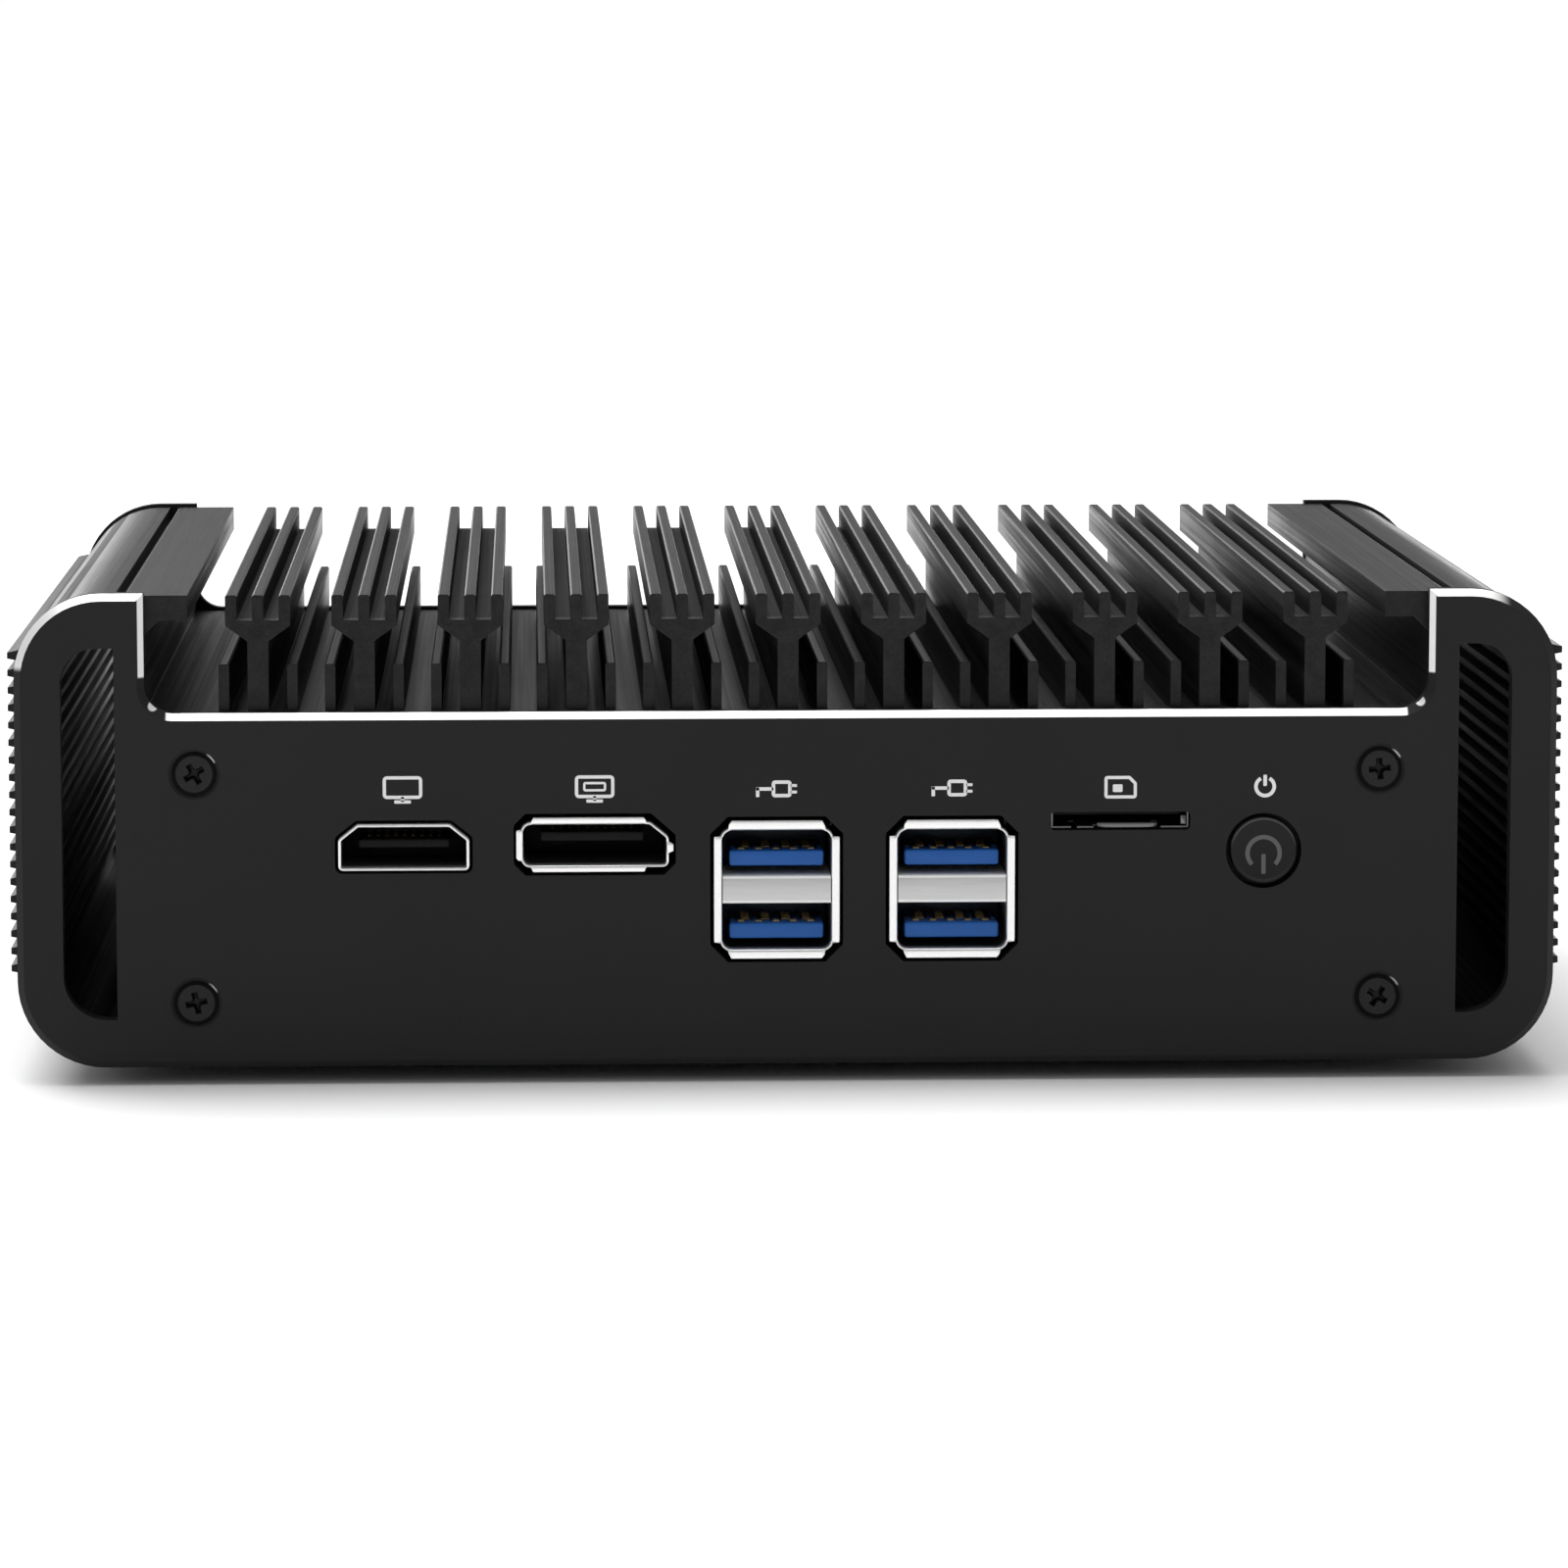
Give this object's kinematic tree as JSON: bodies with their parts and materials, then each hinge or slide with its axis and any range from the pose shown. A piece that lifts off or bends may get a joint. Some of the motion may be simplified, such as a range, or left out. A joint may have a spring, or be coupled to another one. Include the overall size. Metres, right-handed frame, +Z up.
{
  "type": "mini pc",
  "caption": "Fanless mini computer in a finned aluminium case, with video, USB, network and power sockets and a power button.",
  "frame": {"origin": "on the ground under the middle of the case's outline", "axes": "+Z up, -Y out of the front plate with the power button, +X to the right when facing the front plate"},
  "size_m": [0.178, 0.1268, 0.0565],
  "materials": {
    "anodised_case": "black anodised, bead blasted",
    "anodised_plate": "black anodised, fine matte, bright-cut edges",
    "black_steel": "blackened",
    "bright_steel": "nickel plated",
    "black_plastic": "moulded",
    "button_black": "black anodised, dished face",
    "blue_plastic": "moulded",
    "gilt": "gold plated",
    "rubber_feet": "matte",
    "circuit_board": "solder mask",
    "chip": "moulded",
    "silicon": "polished",
    "copper": "milled",
    "paste": "grey paste",
    "ferrite": "pressed powder",
    "can": "bright",
    "light_pipe": "frosted clear",
    "coin_cell": "satin",
    "brass": "turned",
    "zinc_plate": "zinc plated",
    "black_cover": "black powder coat"
  },
  "bodies": {
    "case": {"antenna_hole_plugs": "black_plastic", "battery_holder": "black_plastic", "board_screws": "zinc_plate", "bottom_cover": "black_cover", "capacitors": "can", "clock_battery": "coin_cell", "copper_heat_block": "copper", "cover_screws": "black_steel", "cpu_die": "silicon", "cpu_package": "circuit_board", "dc_jack_body": "black_plastic", "dc_jack_pin": "bright_steel", "dimm_socket": "black_plastic", "displayport_insert": "black_plastic", "displayport_shell": "bright_steel", "front_panel": "anodised_plate", "front_panel_screws": "black_steel", "hdmi_insert": "black_plastic", "hdmi_shell": "bright_steel", "heat_block_screws": "zinc_plate", "heatsink_body": "anodised_case", "lan_1_insert": "black_plastic", "lan_1_shell": "bright_steel", "lan_2_insert": "black_plastic", "lan_2_shell": "bright_steel", "lan_3_insert": "black_plastic", "lan_3_shell": "bright_steel", "lan_4_insert": "black_plastic", "lan_4_shell": "bright_steel", "lan_contacts": "gilt", "lan_light_pipes": "light_pipe", "memory_chips": "chip", "memory_module": "circuit_board", "motherboard": "circuit_board", "network_chips": "chip", "power_inductors": "ferrite", "power_switch_body": "black_plastic", "rear_panel": "anodised_plate", "rear_panel_screws": "black_steel", "rubber_feet": "rubber_feet", "sim_socket_base": "black_plastic", "sim_socket_shell": "bright_steel", "ssd_chips": "chip", "ssd_module": "circuit_board", "ssd_screw": "zinc_plate", "ssd_socket": "black_plastic", "ssd_standoff": "brass", "thermal_paste": "paste", "usb_contacts": "gilt", "usb_left_insert": "blue_plastic", "usb_left_shell": "bright_steel", "usb_right_insert": "blue_plastic", "usb_right_shell": "bright_steel", "vesa_clinch_nuts": "zinc_plate"},
    "power_button": {"power_button_cap": "button_black", "power_switch_plunger": "black_plastic"},
    "sim_slider": {"sim_slider": "black_plastic"},
    "dimm_latch_left": {"dimm_latch_left": "bright_steel"},
    "dimm_latch_right": {"dimm_latch_right": "bright_steel"}
  },
  "joints": [
    {"name": "power_button_press", "type": "slide", "parent": "case", "child": "power_button", "axis": [0, 1, 0], "range_m": [0, 0.0008], "stiffness_N_per_m": 1500},
    {"name": "sim_slider_push", "type": "slide", "parent": "case", "child": "sim_slider", "axis": [0, 1, 0], "range_m": [0, 0.003], "stiffness_N_per_m": 300},
    {"name": "dimm_latch_left_open", "type": "hinge", "parent": "case", "child": "dimm_latch_left", "pos_m": [-0.06105, 0.032, 0.0284], "axis": [0, 0, 1], "range_deg": [-12, 0], "stiffness_Nm_per_rad": 0.1},
    {"name": "dimm_latch_right_open", "type": "hinge", "parent": "case", "child": "dimm_latch_right", "pos_m": [0.00905, 0.032, 0.0284], "axis": [0, 0, 1], "range_deg": [0, 12], "stiffness_Nm_per_rad": 0.1}
  ]
}
